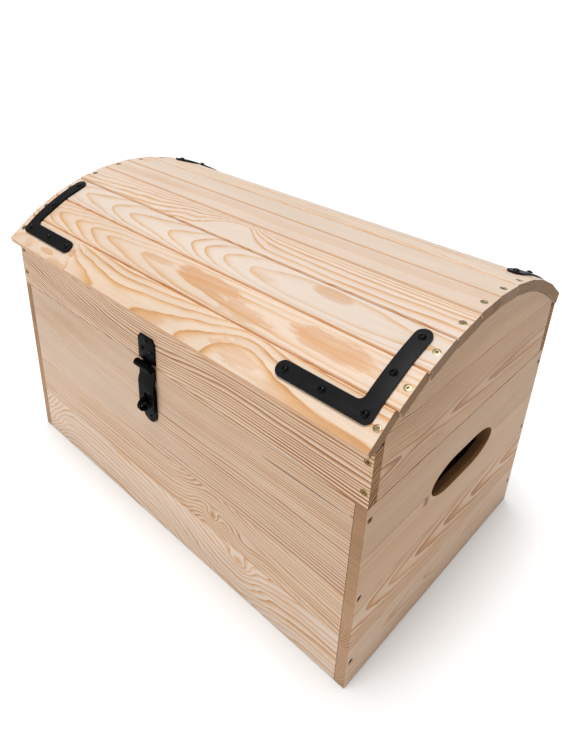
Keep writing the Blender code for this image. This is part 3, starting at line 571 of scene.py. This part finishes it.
PAN = cross_head("pan_head", ((0, 2.3), (0.8, 2.27), (1.6, 2.12), (2.3, 1.84), (2.9, 1.42), (3.3, 1.0), (3.55, 0.62), (3.8, 0.42), (3.95, 0.3), (4.0, 0.16),
                              (3.95, 0.0), (1.5, 0.0), (1.5, -9.6), (0, -10.8)), 40, 3.0, 0.75, 2.15, 0.62)
SMALL_PAN = cross_head("small_pan_head", ((0, 1.7), (0.7, 1.67), (1.4, 1.53), (2.0, 1.27), (2.6, 0.85), (3.0, 0.4), (3.15, 0.18), (3.1, 0.0), (1.3, 0.0),
                                          (1.3, -9.6), (0, -10.8)), 32, 2.4, 0.5, 1.7, 0.5)
LOW_PAN = cross_head("low_pan_head", ((0, 1.2), (0.8, 1.17), (1.6, 1.05), (2.3, 0.8), (2.8, 0.45), (3.05, 0.2), (3.0, 0.0), (1.3, 0.0), (1.3, -9.6), (0, -10.8)),
                     32, 1.9, 0.2, 1.6, 0.48)
FLAT = cross_head("flat_head", ((0, 0.02), (2.2, 0.0), (3.1, -0.05), (3.38, -0.12), (3.45, -0.26), (3.3, -0.62), (1.7, -2.3), (1.6, -8.0), (0, -9.0)),
                  36, 0.7, -1.3, 2.25, 0.62)
# the walls and floor of the cross get the recess material: oxide with painted shade
for face in FLAT.polygons:      # the walls and the floor of the cross
    c = face.center * 1000
    face.material_index = int(math.hypot(c.x, c.y) < 2.6 and -1.6 < c.z < -0.12)


def gathered(name, mesh, places, body, slot, metal=None):
    """Several copies of one mesh as one piece."""
    bm = bmesh.new()
    for m in places:
        before = len(bm.verts)
        bm.from_mesh(mesh)
        bm.verts.ensure_lookup_table()
        bmesh.ops.transform(bm, matrix=m, verts=bm.verts[before:])
    made = bpy.data.meshes.new(name)
    bm.to_mesh(made)
    bm.free()
    made.materials.clear()
    made.materials.append(metal or BRASS)
    made.materials.append(RECESS_OXIDE_AND_SHADE)
    soften(made, 34)
    return publish(name, made, body, slot)


# ------------------------------------------------------------------ brass screws and their countersinks
SINK = ((0, 2.0), (3.95, 2.0), (3.9, 0.04), (3.72, -0.12), (3.62, -0.3), (3.55, -0.75), (2.0, -2.7), (1.9, -8.6), (0, -9.4))
HEAD_DOWN = 0.00028
screws = {}      # group: [(wooden node, matrix)]


def place_screw(group, node, point, out, spin):
    screws.setdefault(group, []).append((node, frame_at(Vector(point), out, spin)))


SLAT_SCREW_X = (0.2950, 0.2975, 0.2985, 0.2985, 0.2975, 0.2975, 0.2965, 0.2960, 0.2955, 0.2950)
for i in range(10):
    middle = math.radians((JOINTS[i] + JOINTS[i + 1]) / 2)
    half = math.radians((JOINTS[i] - JOINTS[i + 1]) / 2)
    out = Vector((0, -math.sin(middle), math.cos(middle)))
    for side, x in (("left", -0.2940), ("right", SLAT_SCREW_X[i])):
        point = Vector((x, 0, ARC_Z)) + out * ARC_R * math.cos(half)
        place_screw("lid_screws_" + side, "lid_slat_%02d" % (i + 1), point, out, 0.37 * (i * 3 + (side == "left")) + 0.5)
for row, y, out in (("front", -DEPTH / 2, (0, -1, 0)), ("back", DEPTH / 2, (0, 1, 0))):
    for k, (x, z) in enumerate(((-0.2915, 0.3055), (-0.2915, 0.2712), (0.2940, 0.3035), (0.2940, 0.2695))):
        place_screw("rail_screws_" + row, "lid_%s_rail" % row, (x, y, z), out, 0.9 * k + 0.3)
for side, x, out in (("left", -LENGTH / 2, (-1, 0, 0)), ("right", LENGTH / 2, (1, 0, 0))):
    for k, (y, z) in enumerate((y, z) for y in (-0.1805, 0.1805) for z in (0.2365, 0.1340, 0.0385)):
        place_screw("side_screws_" + side, "side_panel_" + side, (x, y, z), out, 0.7 * k + 0.2)

sinks = {}
for group, spots in screws.items():
    for node, m in spots:
        sinks.setdefault(node, []).append(m)


# ------------------------------------------------------------------ wooden pieces
def wooden(node):
    axis, cuts, boards = WOOD[node]
    obj = bevelled(node, 0.0004 if node.startswith("lid_slat") else 0.0006)
    tool = None
    if node in sinks:
        bm = bmesh.new()
        for m in sinks[node]:
            lathe(SINK, 28, m, bm)
        bmesh.ops.recalc_face_normals(bm, faces=bm.faces[:])
        tool = as_object(bm, node + "_sink")
        mod = obj.modifiers.new("sink", "BOOLEAN")
        mod.operation, mod.solver, mod.object = "DIFFERENCE", "EXACT", tool
    mesh = applied(obj)
    if tool:
        bpy.data.objects.remove(tool)
    bm = bmesh.new()
    bm.from_mesh(mesh)
    for at in cuts:
        co, no = Vector((0, 0, 0)), Vector((0, 0, 0))
        co[axis], no[axis] = at, 1
        bmesh.ops.bisect_plane(bm, geom=bm.verts[:] + bm.edges[:] + bm.faces[:], dist=1e-6, plane_co=co, plane_no=no)
    bm.normal_update()
    ends = [at for at in cuts]
    for f in bm.faces:
        c = f.calc_center_bounds()[axis]
        k = sum(c > at for at in ends)
        end = abs(f.normal.dot(boards[k].along)) > 0.55
        f.material_index = 2 * k + (1 if end else 0)
        if node.startswith("lid_slat") and abs(f.normal.dot(boards[k].across)) > 0.55:
            f.material_index = 2 * len(boards)      # tongue and groove edge
        if node.startswith("side_panel") and abs(f.normal.x) < 0.5 and abs(f.calc_center_bounds().y) < 0.09 and 0.15 < f.calc_center_bounds().z < 0.23:
            f.material_index = 2 * len(boards)      # the wall of the hand hole
    mesh.materials.clear()
    for k, b in enumerate(boards):
        tag = node if len(boards) == 1 else "%s_board_%d" % (node, k + 1)
        mesh.materials.append(b.material(tag + "_grain"))
        mesh.materials.append(b.material(tag + "_end_grain", end=True))
    if node.startswith("lid_slat"):
        edge = dict(SLAT_LOOKS[int(node[-2:]) - 1], field=None, blush=(), tint=(1.0, 0.82, 0.64) if int(node[-2:]) < 4 else (0.84, 0.73, 0.62))
        mesh.materials.append(slat_board(int(node[-2:]) - 1, **edge).material(node + "_edge_grain"))
    if node.startswith("side_panel"):
        # the hand hole's wall is darker brown end grain, with painted shade for the inside of the hole
        rim = Board((0, 0, 0.19), (0, 1, 0), (1, 0, 0), end_tones={"pale": "#8b643f", "mid": "#6d4d2f", "dark": "#4a3320"}, seed=71.0)
        mesh.materials.append(rim.material(node + "_hole_wall_grain_and_shade", end=True))
    bm.to_mesh(mesh)
    bm.free()
    mesh.name = node + "_wood"
    soften(mesh, 24)
    slot = frame["nodes"][node].data.materials[0].name
    return publish(node + "_wood", mesh, BODY[node], slot, (node,))


for node in sorted(WOOD):
    wooden(node)
for group, spots in screws.items():
    body = BODY[spots[0][0]]
    gathered(group, FLAT, [m @ Matrix.Translation((0, 0, -HEAD_DOWN)) for _, m in spots], body, "black_metal",
             {"side": DARK_BRASS, "rail": DULL_BRASS}.get(group[:4]))


# ------------------------------------------------------------------ brackets, hinges and hasp
def metal_piece(node, paint, width, angle=40):
    mesh = applied(bevelled(node, width, 3, angle))
    mesh.materials.clear()
    mesh.materials.append(paint)
    for f in mesh.polygons:
        f.material_index = 0
    mesh.name = node + "_painted"
    soften(mesh, 30)
    return publish(node + "_painted", mesh, BODY[node], "black_metal", (node,))


for node in sorted(frame["nodes"]):
    if node.startswith("corner_bracket"):
        metal_piece(node, BRACKET_PAINT, 0.00045)
    elif node.startswith("hinge"):
        metal_piece(node, HASP_PAINT, 0.0003)
    elif node in ("hasp_plate", "hasp_strap", "staple_plate"):
        metal_piece(node, HASP_PAINT, 0.0003)
    elif node in ("hasp_pin", "turn_staple"):
        metal_piece(node, HASP_PAINT, 0.00035, 50)


def axis_of(node):
    """Top of the head and direction out, of a turned screw: its two end points are the pair that is farthest apart."""
    pts = [v.co.copy() for v in frame["nodes"][node].data.vertices]
    a, b = max(((p, q) for i, p in enumerate(pts) for q in pts[i + 1:]), key=lambda pq: (pq[0] - pq[1]).length_squared)
    mid = sum(pts, Vector()) / len(pts)
    if (mid - a).length > (mid - b).length:
        a, b = b, a
    return a, (a - b).normalized()


def black_screw(node, mesh, height, spin):
    top, out = axis_of(node)
    data = mesh.copy()
    data.name = node + "_head"
    data.transform(frame_at(top - out * height / 1000, out, spin))
    data.materials.clear()
    data.materials.append(SCREW_PAINT)
    return publish(node + "_head", data, BODY[node], "black_metal", (node,))


for k, node in enumerate(sorted(n for n in frame["nodes"] if "screw" in n)):
    if node.startswith("bracket"):
        black_screw(node, PAN, 2.3, 0.61 * k)
    elif node.startswith("hasp"):
        black_screw(node, SMALL_PAN, 1.7, 0.61 * k)
    else:
        black_screw(node, LOW_PAN, 1.2, 0.61 * k)

# the hinge leaves' screw heads, four to a leaf
HINGE_HEAD = cross_head("hinge_head", ((0, 1.1), (0.8, 1.07), (1.6, 0.95), (2.3, 0.7), (2.8, 0.4), (3.05, 0.18), (3.0, 0.0), (0, 0.0)), 32, 1.8, 0.25, 1.6, 0.46)
LEAF_FACE = max(v.co.y for v in frame["nodes"]["hinge_leaf_base_left"].data.vertices if v.co.z < 0.235)
for body, rows in (("base", (0.2300, 0.2410)), ("lid", (0.2762, 0.2652))):
    places = [frame_at(Vector((cx + x, LEAF_FACE + 0.00002, rows[k % 2])), (0, 1, 0), 0.8 * k + 0.3)
              for cx in (-0.190, 0.190) for k, x in enumerate((-0.022, -0.008, 0.008, 0.022))]
    gathered("hinge_screws_" + body, HINGE_HEAD, places, body, "black_metal", SCREW_PAINT)

# ------------------------------------------------------------------ floor, light and camera
net = Net("floor_white")
p = net.node("ShaderNodeTexCoord").outputs["Object"]
tone = net.ramp(net.noise(p, 3.0, 2.0), [(0.3, (0.71, 0.71, 0.71, 1.0)), (0.7, (0.73, 0.73, 0.73, 1.0))])
floor_material = net.finish(tone, 0.75, specular=0.1)
bm = bmesh.new()
bmesh.ops.create_grid(bm, x_segments=8, y_segments=8, size=60.0)
floor = as_object(bm, "floor")
floor.location.z = -0.0004
floor.data.materials.append(floor_material)

world = bpy.data.worlds.new("studio")
bpy.context.scene.world = world
world.use_nodes = True
tree = world.node_tree
tree.nodes.clear()
sky = tree.nodes.new("ShaderNodeBackground")
sky.inputs["Color"].default_value = (1.0, 1.0, 1.0, 1.0)
sky.inputs["Strength"].default_value = 0.34
seen = tree.nodes.new("ShaderNodeBackground")
seen.inputs["Color"].default_value = (1.0, 1.0, 1.0, 1.0)
seen.inputs["Strength"].default_value = 1.0
path = tree.nodes.new("ShaderNodeLightPath")
either = tree.nodes.new("ShaderNodeMixShader")
out = tree.nodes.new("ShaderNodeOutputWorld")
tree.links.new(path.outputs["Is Camera Ray"], either.inputs[0])
tree.links.new(sky.outputs[0], either.inputs[1])
tree.links.new(seen.outputs[0], either.inputs[2])
tree.links.new(either.outputs[0], out.inputs[0])


def distant(name, towards, strength, spread):
    """A far, evenly bright disc; spread is its width in degrees."""
    data = bpy.data.lights.new(name, "SUN")
    data.energy, data.angle = strength, math.radians(spread)
    lamp = bpy.data.objects.new(name, data)
    bpy.context.scene.collection.objects.link(lamp)
    lamp.location = -Vector(towards) * 3
    lamp.rotation_mode = "QUATERNION"
    lamp.rotation_quaternion = Vector(towards).to_track_quat("-Z", "Y")
    return lamp


distant("ceiling_light", (0.061, 0.022, -0.998), 3.45, 27)
distant("front_light", (0.16, 0.80, -0.60), 1.15, 40)
distant("rear_light", (0.61, -0.656, -0.46), 0.4, 60)

camera_data = bpy.data.cameras.new("camera")
camera = bpy.data.objects.new("camera", camera_data)
bpy.context.scene.collection.objects.link(camera)
right = Vector((0.72206238, 0.69121446, 0.02912891))
up = Vector((-0.32568287, 0.30246748, 0.89579244))
forward = Vector((-0.61037414, 0.65630480, -0.44351709))
turn = Matrix((right, up, -forward)).transposed().to_4x4()
camera.matrix_world = Matrix.Translation((0.50921880, -0.54970559, 0.67901349)) @ turn
camera_data.sensor_width = 36.0
camera_data.lens = 30.7385
camera_data.shift_x = 0.01901
camera_data.shift_y = -0.13245
camera_data.clip_start, camera_data.clip_end = 0.02, 400.0
bpy.context.scene.camera = camera

view = bpy.context.scene.view_settings
view.view_transform = "Standard"
view.look = "None"
view.exposure = 0.0
view.gamma = 1.0
